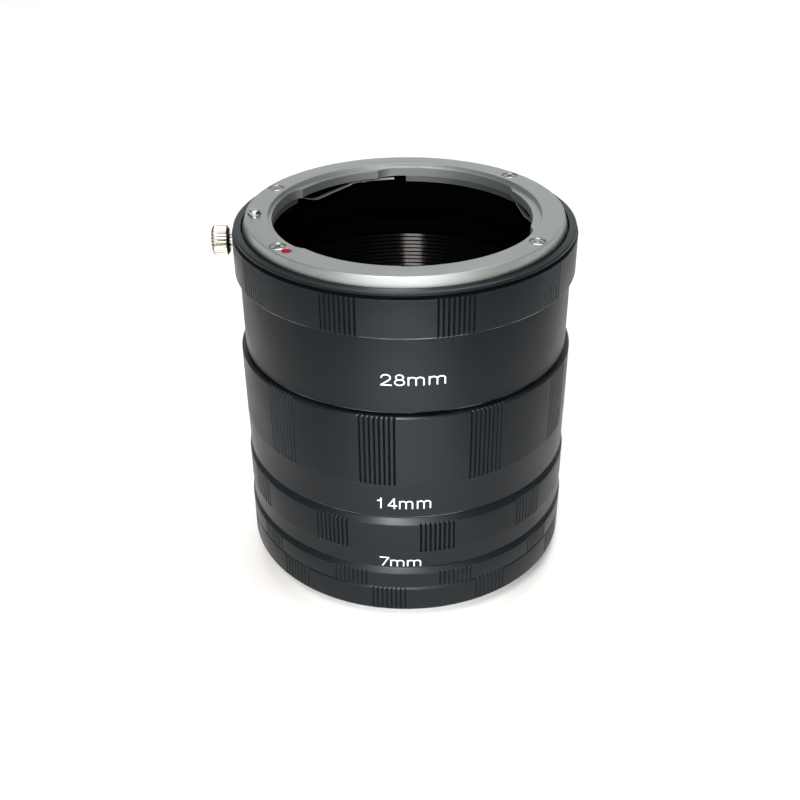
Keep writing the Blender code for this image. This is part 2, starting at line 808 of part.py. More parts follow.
def build():
    clear_scene()
    black = finish("black anodised aluminium", (0.045, 0.048, 0.05), 0.42, 0.6)
    silver = finish("satin chromed plate", (0.55, 0.56, 0.54), 0.38, 1.0)
    steel = finish("bright steel", (0.65, 0.64, 0.6), 0.28, 1.0)
    nickel = finish("nickel plated brass", (0.78, 0.76, 0.7), 0.22, 1.0)

    axis = empty("tube_axis", None, (axis_x, 0, 0))
    adapter = empty("adapter_ring_turn", axis)
    seven = empty("tube_7_turn", adapter)
    fourteen = empty("tube_14_turn", seven)
    twenty_eight = empty("tube_28_turn", fourteen)
    lens = empty("lens_ring_turn", twenty_eight)
    release = empty("release_slide", lens, (0, 0, knob_z))

    build_camera_ring(black, axis)
    build_camera_plate(silver, axis)
    camera_names = [f"camera_plate_screw_{i + 1}" for i in range(len(screw_angles))]
    build_screws(camera_names, camera_screw_circle, camera_ring_z - flange_proud, camera_screw_length,
                 steel, axis, head_up=False)
    build_adapter_ring(black, adapter)
    build_tube_7(black, seven)
    build_tube_14(black, fourteen)
    build_tube_28(black, twenty_eight)
    build_lens_ring(black, lens)
    build_lens_plate(silver, lens)
    lens_names = [f"lens_plate_screw_{i + 1}" for i in range(len(screw_angles))]
    build_screws(lens_names, screw_circle, plate_top, screw_length, steel, lens)
    build_leaf_springs(steel, lens)
    build_rivets(steel, lens)
    build_pin_spring(steel, lens)
    build_lock_pin(steel, release)
    build_release_knob(nickel, release)


build()
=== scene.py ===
import math

import bmesh
import bpy
from mathutils import Matrix, Vector


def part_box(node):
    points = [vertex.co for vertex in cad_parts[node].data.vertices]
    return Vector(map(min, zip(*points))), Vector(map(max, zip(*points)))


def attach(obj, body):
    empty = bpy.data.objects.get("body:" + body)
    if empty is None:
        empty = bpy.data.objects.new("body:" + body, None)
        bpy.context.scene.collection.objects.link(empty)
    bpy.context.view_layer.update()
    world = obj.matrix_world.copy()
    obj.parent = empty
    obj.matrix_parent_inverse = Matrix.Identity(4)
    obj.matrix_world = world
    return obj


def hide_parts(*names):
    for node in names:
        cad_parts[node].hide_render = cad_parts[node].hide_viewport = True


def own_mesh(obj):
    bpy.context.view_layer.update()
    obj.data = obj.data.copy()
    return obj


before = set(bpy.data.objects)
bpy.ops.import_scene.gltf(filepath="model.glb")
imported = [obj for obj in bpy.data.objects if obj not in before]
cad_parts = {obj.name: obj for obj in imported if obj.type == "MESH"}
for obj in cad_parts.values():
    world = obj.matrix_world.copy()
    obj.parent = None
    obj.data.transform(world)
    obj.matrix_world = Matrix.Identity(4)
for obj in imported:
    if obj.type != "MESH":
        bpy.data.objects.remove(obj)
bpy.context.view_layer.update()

# Macro extension tube: turned black rings, two bayonet plates, white markings.
# Sizes are in millimetres and are turned to metres where a mesh is made.

mm = 0.001
scene = bpy.context.scene

stack = {
    "axisX": 1.8,          # the optical axis, set off by the release knob
    "thread": 3.4,         # length of each spigot below its tube
    "bore": 28.0,
    "spigot": 29.9,
    "socket": 30.2,
    "trueRound": 0.9985,   # share of the radius at which the CAD rings' facets lie on average
    "insideUnder": 30.5,   # faces nearer to the axis than this take the inside finish
    "edge": 0.12,          # how far a turned edge is broken
    "boreEdge": 0.1,
    "sharp": 32,           # degrees between two faces from which their edge stays sharp
    "bevelUp": 0.15,       # a face that looks up more than this takes the bevel's finish
    "edgeDown": -0.3,      # and one that looks down more than this the worn edge's
    "sides": 360,          # of the two bayonet plates
    "past": 1.0,           # how far a cutting tool runs past the metal
}
quarterTurn = [math.radians(15 * i) for i in range(7)]


def seatOf(node):
    low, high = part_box(node)
    return low.z / mm, high.z / mm


def polar(radius, degrees, z=0.0):
    angle = math.radians(degrees)
    return Vector((radius * math.cos(angle), radius * math.sin(angle), z))


def atAxis(point):
    return Vector((point[0] + stack["axisX"], point[1], point[2])) * mm


def softened(outline, reach=None, steps=3):
    # breaks every corner of a closed outline with a small round
    reach = stack["edge"] if reach is None else reach
    soft = []
    for i, corner in enumerate(outline):
        here = Vector(corner[:2])
        before = Vector(outline[i - 1][:2])
        after = Vector(outline[(i + 1) % len(outline)][:2])
        band = corner[2] if len(corner) > 2 else 0
        cut = min(reach, 0.4 * (here - before).length, 0.4 * (after - here).length)
        start = here + (before - here).normalized() * cut
        end = here + (after - here).normalized() * cut
        for k in range(steps + 1):
            t = k / steps
            p = start.lerp(here, t).lerp(here.lerp(end, t), t)
            soft.append((p.x, p.y, band))
    return soft


def roundedTop(radius, top, width, height):
    # a quarter of an ellipse from a wall over to the rim on top of it
    return [(radius - width * (1 - math.cos(t)), top - height * (1 - math.sin(t)), 0) for t in quarterTurn]


def skin(rows, around, closed=False):
    # faces over rows of points; an open skin has a cap at both ends
    faces = []
    for row in range(rows if closed else rows - 1):
        nextRow = (row + 1) % rows
        for i in range(around):
            j = (i + 1) % around
            faces.append((row * around + i, row * around + j, nextRow * around + j, nextRow * around + i))
    if not closed:
        faces += [tuple(range(around))[::-1], tuple(range((rows - 1) * around, rows * around))]
    return faces


def nearAxis(face, radius):
    axis = Vector((stack["axisX"] * mm, 0))
    return (face.center.xy - axis).length < radius * mm


def shown(name, data):
    thing = bpy.data.objects.new(name, data)
    scene.collection.objects.link(thing)
    return thing


def finishMesh(name, vertices, faces, material=None, sharpAngle=stack["sharp"], ringFinishes=()):
    # a ring's other finishes are those of its bore, its upper bevels and its lower edge
    mesh = bpy.data.meshes.new(name)
    mesh.from_pydata(vertices, [], faces)
    bm = bmesh.new()
    bm.from_mesh(mesh)
    bmesh.ops.recalc_face_normals(bm, faces=bm.faces)
    bm.to_mesh(mesh)
    bm.free()
    for finish in ([material] if material else []) + list(ringFinishes):
        mesh.materials.append(finish)
    if ringFinishes:
        for face in mesh.polygons:
            up = face.normal.z
            face.material_index = 2 if up > stack["bevelUp"] else 3 if up < stack["edgeDown"] else 0
            if nearAxis(face, stack["insideUnder"]):
                face.material_index = 1
    mesh.shade_smooth()
    mesh.set_sharp_from_angle(angle=math.radians(sharpAngle))
    return shown(name, mesh)


def evenAngles(count):
    return [360.0 * i / count for i in range(count)]


def turned(name, outline, angles, material, relief=None, ringFinishes=()):
    # turns a closed outline of (radius, z, onBand) round the optical axis
    vertices = []
    for radius, z, band in outline:
        for angle in angles:
            r = radius
            if band and relief:
                r = min(radius, relief(angle))
            vertices.append(atAxis(polar(r, angle, z)))
    faces = skin(len(outline), len(angles), closed=True)
    return finishMesh(name, vertices, faces, material, ringFinishes=ringFinishes)


def spun(rows, sides, radiusAt):
    # turns rows that start and end on their own axis; radiusAt gives each point's radius
    vertices, rings = [], []
    for row in rows:
        if row[0] == 0:
            rings.append([len(vertices)])
            vertices.append(Vector((0, 0, row[1])) * mm)
            continue
        rings.append(list(range(len(vertices), len(vertices) + sides)))
        vertices += [polar(radiusAt(row, i), 360.0 * i / sides, row[1]) * mm for i in range(sides)]
    faces = []
    for here, there in zip(rings, rings[1:]):
        for i in range(sides):
            j = (i + 1) % sides
            corners = [here[i % len(here)], here[j % len(here)], there[j % len(there)], there[i % len(there)]]
            faces.append(tuple(dict.fromkeys(corners)))
    return vertices, faces


def pin(name, outline, sides, material, place):
    vertices, faces = spun(outline, sides, lambda row, i: row[0])
    piece = finishMesh(name, vertices, faces, material)
    piece.matrix_world = Matrix.Translation(atAxis(place))
    return piece


def prism(name, points, low, high):
    vertices = [atAxis((p[0], p[1], z)) for z in (low, high) for p in points]
    return finishMesh(name, vertices, skin(2, len(points)))


def bar(name, radius, place, low, high, sides=40):
    return prism(name, [place + polar(radius, a) for a in evenAngles(sides)], low, high)


def cutAway(piece, tools):
    # takes the tools out of the piece for good
    for tool in tools:
        step = piece.modifiers.new("cut", "BOOLEAN")
        step.operation = "DIFFERENCE"
        step.solver = "EXACT"
        step.object = tool
    bpy.context.view_layer.update()
    evaluated = piece.evaluated_get(bpy.context.evaluated_depsgraph_get())
    made = bpy.data.meshes.new_from_object(evaluated)
    piece.modifiers.clear()
    piece.data = made
    made.shade_smooth()
    made.set_sharp_from_angle(angle=math.radians(stack["sharp"]))
    for tool in tools:
        bpy.data.objects.remove(tool, do_unlink=True)


def settle(piece, body, slotName, *nodes):
    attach(piece, body)
    if nodes:
        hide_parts(*nodes)


def linear(hexColour):
    values = [int(hexColour[i:i + 2], 16) / 255 for i in (0, 2, 4)]
    return tuple(v / 12.92 if v <= 0.04045 else ((v + 0.055) / 1.055) ** 2.4 for v in values) + (1.0,)


def addNode(tree, kind, settings, links=()):
    # names in lower case are the node's own settings, the rest are its sockets
    node = tree.nodes.new("ShaderNode" + kind)
    for key, value in settings.items():
        if isinstance(key, str) and key[0].islower():
            setattr(node, key, value)
        else:
            node.inputs[key].default_value = value
    for socket, source in links:
        tree.links.new(source, node.inputs[socket])
    return node


def startMaterial(name, colour, roughness, metallic=0.0, specular=0.5):
    material = bpy.data.materials.new(name)
    material.use_nodes = True
    tree = material.node_tree
    shader = tree.nodes["Principled BSDF"]
    settings = {"Base Color": linear(colour), "Roughness": roughness, "Metallic": metallic,
                "Specular IOR Level": specular}
    for socket, value in settings.items():
        shader.inputs[socket].default_value = value
    return material, tree, shader


def objectSpace(tree):
    return addNode(tree, "TexCoord", {}).outputs["Object"]


def noise(tree, sizeMm, detail):
    settings = {"Scale": 1 / (sizeMm * mm), "Detail": detail}
    return addNode(tree, "TexNoise", settings, [("Vector", objectSpace(tree))]).outputs["Fac"]


def roughen(tree, shader, pattern, low, high):
    # the middle part of a noise pattern moves the roughness between two values
    settings = {"From Min": 0.3, "From Max": 0.7, "To Min": low, "To Max": high}
    spread = addNode(tree, "MapRange", settings, [("Value", pattern)])
    tree.links.new(spread.outputs["Result"], shader.inputs["Roughness"])


def tinted(tree, shader, pattern, first, second):
    settings = {"data_type": "RGBA", 6: linear(first), 7: linear(second)}
    tint = addNode(tree, "Mix", settings, [(0, pattern)])
    tree.links.new(tint.outputs[2], shader.inputs["Base Color"])


def bump(tree, shader, pattern, strength, heightMm, under=None):
    # relief from a pattern, on top of the relief under it if there is one
    links = [("Height", pattern)]
    if under is not None:
        links.append(("Normal", under))
    settings = {"Strength": strength, "Distance": heightMm * mm}
    relief = addNode(tree, "Bump", settings, links).outputs["Normal"]
    tree.links.new(relief, shader.inputs["Normal"])
    return relief


anodised = {
    "colour": "0c0e10",      # black dye in the oxide, a little blue
    "faded": "101315",       # where handling has thinned it
    "inside": "020203",
    "specular": 0.135,       # the sealed oxide is porous and reflects less than plastic does
    "tint": "eaf6ff",        # blue cast painted into the sheen: a painted reflection of bluish light
    "roughness": 0.38,
    "bevelRoughness": 0.32,  # bevels are turned, not blasted, and shine more
    "bevelSpecular": 0.38,
    "bare": "7c8083",        # aluminium that shows where an edge has rubbed
    "rubbed": (0.4, 0.66),   # the part of the noise over which the edge goes from black to bare
    "roughnessSpread": 0.05,
    "insideRoughness": 0.12,
    "insideSpecular": 0.045,
    "grainMm": 0.16,         # bead blasted, drawn coarser than the real 0.05 mm
    "grainHeight": 0.004,
    "patchMm": 9.0,          # size of the cloudy change in the sheen
    "lathePitch": 0.35,      # of the fine turning on the 28mm tube
    "latheHeight": 0.003,
    "boreGrainMm": 0.5,
    "boreFaded": "030405",
    "boreSpread": 0.04,
}
waveAtOne = 0.314            # length of one wave of the wave texture at scale 1


def blackAnodised(name, roughness, specular, lathePitch=None):
    # blasted and anodised aluminium: a soft satin black that lifts to grey at a low angle
    material, tree, shader = startMaterial(name, anodised["colour"], roughness, specular=specular)
    # the blue specular tint is painted reflection colour, standing in for bluish light
    shader.inputs["Specular Tint"].default_value = linear(anodised["tint"])
    cloud = noise(tree, anodised["patchMm"], detail=3.0)
    grain = noise(tree, anodised["grainMm"], detail=2.0)
    tinted(tree, shader, cloud, anodised["colour"], anodised["faded"])
    spread = anodised["roughnessSpread"]
    roughen(tree, shader, cloud, roughness - spread, roughness + spread)
    blasted = bump(tree, shader, grain, strength=0.35, heightMm=anodised["grainHeight"])
    if lathePitch:
        settings = {"bands_direction": "Z", "Scale": waveAtOne / (lathePitch * mm), "Distortion": 0.4,
                    "Detail": 1.0}
        lines = addNode(tree, "TexWave", settings, [("Vector", objectSpace(tree))]).outputs["Fac"]
        bump(tree, shader, lines, strength=0.3, heightMm=anodised["latheHeight"], under=blasted)
    return material


def wornEdge():
    # the sharp lower edge of a ring, rubbed through to the metal here and there
    material, tree, shader = startMaterial("rubbedAnodisedEdge", anodised["colour"], anodised["roughness"],
                                           specular=anodised["specular"])
    rubbed = noise(tree, anodised["patchMm"], detail=5.0)
    black, bare = anodised["rubbed"]
    share = addNode(tree, "MapRange", {"From Min": black, "From Max": bare}, [("Value", rubbed)])
    tinted(tree, shader, share.outputs["Result"], anodised["colour"], anodised["bare"])
    return material


def mattBore():
    # dead black dye on the baffles: the bore is a hole but for the light on its ridges
    roughness = anodised["insideRoughness"]
    material, tree, shader = startMaterial("mattBlackBore", anodised["inside"], roughness,
                                           specular=anodised["insideSpecular"])
    grain = noise(tree, anodised["boreGrainMm"], detail=3.0)
    tinted(tree, shader, grain, anodised["inside"], anodised["boreFaded"])
    roughen(tree, shader, grain, roughness - anodised["boreSpread"], roughness + anodised["boreSpread"])
    return material


chromePlate = {
    "colour": "b0b3af",
    "dull": "a3a7a3",
    "roughness": 0.34,
    "milledRoughness": 0.52,   # the milled walls of the gaps are duller than the turned face
    "milledColour": "c6cbd0",  # and a colder grey
    "collarShadeColour": "7c8186",  # the collar under them is painted darker: painted shade under the tabs
    "turningMm": 0.22,         # feed of the facing cut, drawn coarser than the real 0.1 mm
    "turningHeight": 0.0008,
    "cloudMm": 8.3333,
    "shinier": 0.04,           # how far the clouds move the roughness down
    "duller": 0.05,            # and up
}


def satinChrome(name, roughness, colour):
    # faced on the lathe and satin chromed: a quiet grey with faint rings round the axis
    material, tree, shader = startMaterial(name, colour, roughness, metallic=1.0)
    settings = {"Location": (-stack["axisX"] * mm, 0, 0)}
    centred = addNode(tree, "Mapping", settings, [("Vector", objectSpace(tree))]).outputs["Vector"]
    settings = {"wave_type": "RINGS", "rings_direction": "Z", "Distortion": 0.6, "Detail": 2.0,
                "Detail Scale": 2.0, "Scale": waveAtOne / (chromePlate["turningMm"] * mm)}
    rings = addNode(tree, "TexWave", settings, [("Vector", centred)]).outputs["Fac"]
    cloud = noise(tree, chromePlate["cloudMm"], detail=4.0)
    tinted(tree, shader, cloud, colour, chromePlate["dull"])
    roughen(tree, shader, cloud, roughness - chromePlate["shinier"], roughness + chromePlate["duller"])
    bump(tree, shader, rings, strength=0.3, heightMm=chromePlate["turningHeight"])
    return material


def plainMetal(name, colour, roughness, markMm):
    # small turned or stamped metal part with faint marks
    material, tree, shader = startMaterial(name, colour, roughness, metallic=1.0)
    marks = noise(tree, markMm, detail=3.0)
    roughen(tree, shader, marks, roughness * 0.7, roughness * 1.4)
    bump(tree, shader, marks, strength=0.25, heightMm=0.004)
    return material


enamel = {"roughness": 0.5, "spread": 0.08, "specular": 0.08, "grainMm": 0.25, "height": 0.01}


def paint(name, colour):
    # silk-screened enamel: flat, with a slightly uneven coat
    roughness, spread = enamel["roughness"], enamel["spread"]
    material, tree, shader = startMaterial(name, colour, roughness, specular=enamel["specular"])
    coat = noise(tree, enamel["grainMm"], detail=3.0)
    bump(tree, shader, coat, strength=0.3, heightMm=enamel["height"])
    roughen(tree, shader, coat, roughness - spread, roughness + spread)
    return material


sheen = (anodised["roughness"], anodised["specular"])
blackFinish = blackAnodised("blackAnodisedAluminium", *sheen)
stripFinish = blackAnodised("blackAnodisedTurned", *sheen, anodised["lathePitch"])
bevelFinish = blackAnodised("blackAnodisedBevel", anodised["bevelRoughness"], anodised["bevelSpecular"])
ringFinishes = (mattBore(), bevelFinish, wornEdge())
milled = chromePlate["milledRoughness"]
plateFinish = satinChrome("satinChromedBrass", chromePlate["roughness"], chromePlate["colour"])
milledFinish = satinChrome("satinChromedMilledWall", milled, chromePlate["milledColour"])
# the collar's darker chrome is painted shade under the tabs, not a finish of its own
shadedCollarFinish = satinChrome("paintedShadeCollarChrome", milled, chromePlate["collarShadeColour"])
steelFinish = plainMetal("nickelledSteel", "b9b8b2", roughness=0.16, markMm=0.5)
springFinish = plainMetal("springSteel", "c8c9ca", roughness=0.45, markMm=0.8)
knobFinish = plainMetal("nickelPlatedBrass", "a8a49a", roughness=0.2, markMm=2.5)
whitePaint = paint("whiteMarkingPaint", "e8e9e9")
redPaint = paint("redMarkingPaint", "840018")

# straight knurl: patches of V grooves with plain panels between them
knurl = {"patches": 10, "grooves": 8, "pitch": 0.9, "width": 0.43, "depth": 0.32, "shallow": 0.2,
         "panelColumns": 16}


def knurlSteps(radius):
    # degrees from groove to groove, over half a patch and from patch to patch
    # and half a groove as a share of its pitch
    pitch = math.degrees(knurl["pitch"] / radius)
    return pitch, pitch * knurl["grooves"] / 2, 360.0 / knurl["patches"], knurl["width"] / knurl["pitch"] / 2


def knurlAngles(radius, patchAngle):
    pitch, half, step, share = knurlSteps(radius)
    across = (0, 0.5 - share, 0.5 - share / 2, 0.5, 0.5 + share / 2, 0.5 + share)
    angles = []
    for patch in range(knurl["patches"]):
        first = patchAngle + step * patch - half
        for groove in range(knurl["grooves"]):
            angles += [first + pitch * (groove + t) for t in across]
        last = first + 2 * half
        angles += [last + (step - 2 * half) * i / knurl["panelColumns"] for i in range(knurl["panelColumns"])]
    return angles


def knurlRelief(radius, patchAngle, depth=knurl["depth"]):
    pitch, half, step, share = knurlSteps(radius)

    def bandRadius(angle):
        off = (angle - patchAngle + step / 2) % step - step / 2
        if abs(off) >= half - 1e-6:
            return radius
        fromRoot = abs((off / pitch) % 1.0 - 0.5)
        if fromRoot >= share:
            return radius
        return radius - depth * (1 - fromRoot / share)

    return bandRadius


def boreRows(low, high, ridges):
    # baffle ridges in a bore, from the top down
    bore, z, pitch = stack["bore"], ridges["high"], ridges["pitch"]
    rows = [(bore, high, 0)]
    while z - pitch > ridges["low"]:
        rows += [(bore, z, 0), (bore + ridges["depth"], z - pitch * 0.5, 0)]
        z -= pitch
    return rows + [(bore, z, 0), (bore, low, 0)]


def wallOf(node):
    # the wall starts above the spigot
    low, top = seatOf(node)
    return low + stack["thread"], top


def tubeInside(low, top, ridges=None):
    foot = low - stack["thread"]
    floor = top - stack["thread"]
    socket, bore, spigot = (stack[k] for k in ("socket", "bore", "spigot"))
    inner = softened(((socket, top), (socket, floor), (bore, floor)), stack["boreEdge"])
    if ridges:
        inner += boreRows(foot + ridges["footGap"], floor - ridges["floorGap"], ridges)
    return inner + [(bore, foot, 0), (spigot, foot, 0), (spigot, low, 0)]


# the three marked tubes
baffles = {"low": 50.8, "high": 59.6, "pitch": 0.87, "depth": 0.295, "footGap": 0.2, "floorGap": 0.3}
coneStops = (0, 0.2, 0.4, 0.7, 1)
tube28 = {"radius": 31.65, "chamfer": 0.25, "sides": 288}
tube14 = {"radius": 32.5, "strip": 7.45, "relief": 0.06, "topHeight": 0.35, "topWidth": 0.35, "stops": (0, 1),
          "patch": -99.3}
tube7 = {"radius": 32.75, "strip": 3.85, "relief": 0.06, "topHeight": 1.25, "topWidth": 1.15,
         "stops": coneStops, "patch": -115.7}
walls = {"foot": 0.25, "soft": 0.05, "step": 0.02, "lead": 0.1, "behind": 2.0}


def outerWall(points, reach=None):
    # the outside rows only, softened, with the first and last corner kept
    first, last = ((radius - walls["behind"], z, 0) for radius, z, band in (points[0], points[-1]))
    return softened([first] + points + [last], reach)[4:-4]


def lowerEdge(radius, low, size, band=0):
    # the bevelled foot of a wall; band is 1 where the knurl runs down over it
    return [(radius - size, low, band), (radius, low + size, band)]


def upperEdge(radius, top, height, width, stops=(0, 1)):
    # the straight bevel of a knurled wall up to its rim, with a point at each stop
    return [(radius - width * t, top - height * (1 - t), 1) for t in stops]


def buildTube28():
    low, top = wallOf("tube_28mm")
    r = tube28["radius"] * stack["trueRound"]
    wall = outerWall(lowerEdge(r, low, tube28["chamfer"]) + [(r, top, 0)])
    tube = turned("tube28", wall + tubeInside(low, top, baffles), evenAngles(tube28["sides"]), stripFinish,
                  ringFinishes=ringFinishes)
    settle(tube, "tube_28", "black_anodised_aluminium", "tube_28mm")


def knurledRing(name, outline, radius, patch, depth=knurl["depth"]):
    relief = knurlRelief(radius, patch, depth)
    return turned(name, outline, knurlAngles(radius, patch), blackFinish, relief, ringFinishes)


def buildKnurledTube(name, node, body, sizes):
    low, top = wallOf(node)
    r = sizes["radius"] * stack["trueRound"]
    strip = r - sizes["relief"]
    band = low + sizes["strip"]
    points = lowerEdge(strip, low, walls["foot"])
    points += [(strip, band - walls["step"], 0), (r, band, 0), (r, band + walls["lead"], 1)]
    points += upperEdge(r, top, sizes["topHeight"], sizes["topWidth"], sizes["stops"])
    tube = knurledRing(name, outerWall(points, walls["soft"]) + tubeInside(low, top), r, sizes["patch"])
    settle(tube, body, "black_anodised_aluminium", node)


buildTube28()
buildKnurledTube("tube14", "tube_14mm", "tube_14", tube14)
buildKnurledTube("tube7", "tube_7mm", "tube_7", tube7)

# the two rings at the camera end
adapterRing = {"radius": 33.0, "foot": 0.1, "coneHeight": 1.0, "coneWidth": 0.85, "patch": -109.2}
cameraRing = {"closeUp": 0.11,    # how far both rings grow into the joint between them
              "radius": 33.0, "chamfer": 0.32, "soft": 0.08, "patch": -96.0, "webBore": 24.6, "recess": 30.7,
              "recessDepth": 0.8, "screwCircle": 27.1, "screwHole": 0.95}
screwAngles = (40.6, 155.0, 217.3, 326.3)


def buildAdapterRing():
    low, top = wallOf("camera_adapter_ring")
    low -= cameraRing["closeUp"]
    r = adapterRing["radius"] * stack["trueRound"]
    points = lowerEdge(r, low, adapterRing["foot"], 1)
    points += upperEdge(r, top, adapterRing["coneHeight"], adapterRing["coneWidth"], coneStops)
    outline = outerWall(points, walls["soft"]) + tubeInside(low, top)
    ring = knurledRing("adapterRing", outline, r, adapterRing["patch"], knurl["shallow"])
    settle(ring, "adapter", "black_anodised_aluminium", "camera_adapter_ring")


def buildCameraRing():
    low, top = seatOf("camera_mount_ring")
    top += cameraRing["closeUp"]
    r = cameraRing["radius"] * stack["trueRound"]
    c = cameraRing["chamfer"]
    floor = top - stack["thread"]
    seat = low + cameraRing["recessDepth"]
    wall = outerWall(lowerEdge(r, low, c, 1) + upperEdge(r, top, c, c), cameraRing["soft"])
    socket, web, recess = stack["socket"], cameraRing["webBore"], cameraRing["recess"]
    inside = [(socket, top, 0), (socket, floor, 0), (web, floor, 0), (web, seat, 0), (recess, seat, 0),
              (recess, low, 0)]
    ring = knurledRing("cameraRing", wall + inside, r, cameraRing["patch"], knurl["shallow"])
    places = [polar(cameraRing["screwCircle"], angle) for angle in screwAngles]
    cutAway(ring, [bar("hole", cameraRing["screwHole"], place, low, top) for place in places])
    settle(ring, "camera_end", "black_anodised_aluminium", "camera_mount_ring")


buildAdapterRing()
buildCameraRing()

# the ring at the lens end; depths are measured down from its rim
lensRing = {"radius": 32.5, "rim": 32.15, "crown": 0.6, "crownHeight": 0.24, "grooveWidth": 0.62,
            "grooveDepth": 0.8, "soft": 0.08, "patch": -110.7, "seatDepth": 1.0, "recess": 30.7,
            "rimBevel": 0.06, "collarBore": 26.2, "lip": 25.4, "lipDepth": 2.2, "lipThickness": 1.1,
            "chamber": 26.0, "chamberFloor": 0.6, "screwHole": 0.95, "screwHoleDepth": 3.15}
lockPin = {"angle": 183.5, "circle": 28.05, "radius": 1.05, "bodyRadius": 1.25, "bodyLength": 3.6,
           "proud": 0.85, "travel": 1.4, "boreDepth": 6.6, "slide": 0.2, "slotHalf": 1.35, "knobDrop": 2.35,
           "edge": 0.1, "nose": ((0, 0.26), (0.05, 0.12), (0.15, 0.04), (0.35, 0))}
pinPlace = polar(lockPin["circle"], lockPin["angle"])


def lensRingInside(low, top, seat):
    s = lensRing
    lipTop = top - s["lipDepth"]
    lipLow = lipTop - s["lipThickness"]
    foot = low - stack["thread"]
    recess, collar, lip, chamber = (s[k] for k in ("recess", "collarBore", "lip", "chamber"))
    edge = s["rimBevel"]
    rows = ((recess + edge, top), (recess, top - edge), (recess, seat), (collar, seat), (collar, lipTop),
            (lip, lipTop), (lip, lipLow), (chamber, lipLow), (chamber, low + s["chamberFloor"]),
            (stack["bore"], low), (stack["bore"], foot), (stack["spigot"], foot), (stack["spigot"], low))
    return [(radius, z, 0) for radius, z in rows]


def buildLensRing():
    low, top = wallOf("lens_mount_ring")
    s = lensRing
    r = s["radius"] * stack["trueRound"]
    seat = top - s["seatDepth"]
    wallTop = top - 2 * s["grooveWidth"]
    rimLow = wallTop + s["grooveWidth"]
    under = r - s["grooveDepth"]
    points = lowerEdge(r, low, walls["foot"], 1) + [(r, wallTop, 1), (under, wallTop, 0)]
    wall = outerWall(points, s["soft"])
    rim = [(under, rimLow, 0), (s["rim"], rimLow, 0)]
    rim += roundedTop(s["rim"], top, s["crown"], s["crownHeight"])
    ring = knurledRing("lensRing", wall + rim + lensRingInside(low, top, seat), r, s["patch"])
    places = [polar(lensPlate["screwCircle"], angle) for angle in screwAngles]
    tools = [bar("hole", s["screwHole"], place, top - s["screwHoleDepth"], top) for place in places]
    bore = lockPin["bodyRadius"] + lockPin["slide"]
    tools.append(bar("bore", bore, pinPlace, seat - lockPin["boreDepth"], top))
    tools.append(knobSlot(seat))
    cutAway(ring, tools)
    settle(ring, "lens_end", "black_anodised_aluminium", "lens_mount_ring")


def knobSlot(seat):
    # a slot with round ends, cut outward from the lock pin through the wall
    half, z = lockPin["slotHalf"], seat - lockPin["knobDrop"]
    across = []
    for drop, turns in ((0, range(-90, 91, 10)), (lockPin["travel"], range(90, 271, 10))):
        ends = [math.radians(turn) for turn in turns]
        across += [(half * math.sin(a), z - drop + half * math.cos(a)) for a in ends]
    way = polar(1, lockPin["angle"])
    side = polar(1, lockPin["angle"] + 90)
    vertices = []
    for reach in (lockPin["circle"], lensRing["radius"] + 2 * stack["past"]):
        vertices += [atAxis((way.x * reach + side.x * s, way.y * reach + side.y * s, h)) for s, h in across]
    return finishMesh("slot", vertices, skin(2, len(across)))


# the female bayonet plate on the lens end
lensPlate = {"radius": 30.4, "thickness": 2.45, "sideHeight": 1.75, "sideLean": 0.55, "edge": 0.14,
             "foot": 0.1, "recess": 25.6, "recessDepth": 0.7, "recessEdge": 0.09, "gap": 24.95, "tab": 23.9,
             "firstTab": 5.6, "tabWidth": 44.5, "tabEdge": 0.08, "cutterRadius": 6.5, "collar": 25.1,
             "collarOuter": 25.9, "windowLow": -36.3, "windowHigh": 22.6, "windowRelief": 0.1,
             "screwCircle": 27.9, "headHole": 1.55, "headDepth": 0.75, "headEdge": 0.06, "shankHole": 0.95,
             "drill": 10.0, "pinHole": 1.25, "pinEdge": 0.1, "dotAngle": 222.906, "dotRadius": 0.92,
             "dotDepth": 0.15, "rivetHole": 0.36, "rivetDepth": 1.1}
pinSides = 48
tabAngles = [lensPlate["firstTab"] + 120 * tab for tab in range(3)]


def countersink(circle, angle, z, up=1):
    head, shank, past = lensPlate["headHole"], lensPlate["shankHole"], stack["past"]
    drill, depth, edge = -lensPlate["drill"], -lensPlate["headDepth"], -lensPlate["headEdge"]
    rows = ((0, drill), (shank, drill), (shank, depth), (head, edge), (head, past), (0, past))
    rows = [(radius, z + up * height) for radius, height in rows]
    return pin("sink", rows, pinSides, None, polar(circle, angle))


def gapTool(low, high, lowDeg, highDeg):
    # one bayonet gap, with the wide corners that a milling cutter leaves
    s = lensPlate
    cornerSteps, arcSteps, inner = 10, 60, 20
    swing = math.acos(1 - (s["gap"] - s["tab"]) / s["cutterRadius"])
    ends = []
    for i in range(cornerSteps + 1):
        turn = swing * (1 - i / cornerSteps)
        along = s["cutterRadius"] * (math.sin(swing) - math.sin(turn))
        ends.append((math.degrees(along / s["gap"]), s["gap"] - s["cutterRadius"] * (1 - math.cos(turn))))
    corner = ends[-1][0]
    arc = highDeg - lowDeg - 2 * corner
    points = [polar(r, lowDeg + turn) for turn, r in ends]
    points += [polar(s["gap"], lowDeg + corner + arc * i / arcSteps) for i in range(1, arcSteps)]
    points += [polar(r, highDeg - turn) for turn, r in reversed(ends)]
    points += [polar(inner, angle) for angle in (highDeg, (lowDeg + highDeg) / 2, lowDeg)]
    return prism("gap", points, low, high)


def sectorTool(inner, outer, lowDeg, highDeg, low, high, steps=60):
    turns = [lowDeg + (highDeg - lowDeg) * i / steps for i in range(steps + 1)]
    points = [polar(inner, a) for a in turns] + [polar(outer, a) for a in reversed(turns)]
    return prism("sector", points, low, high)


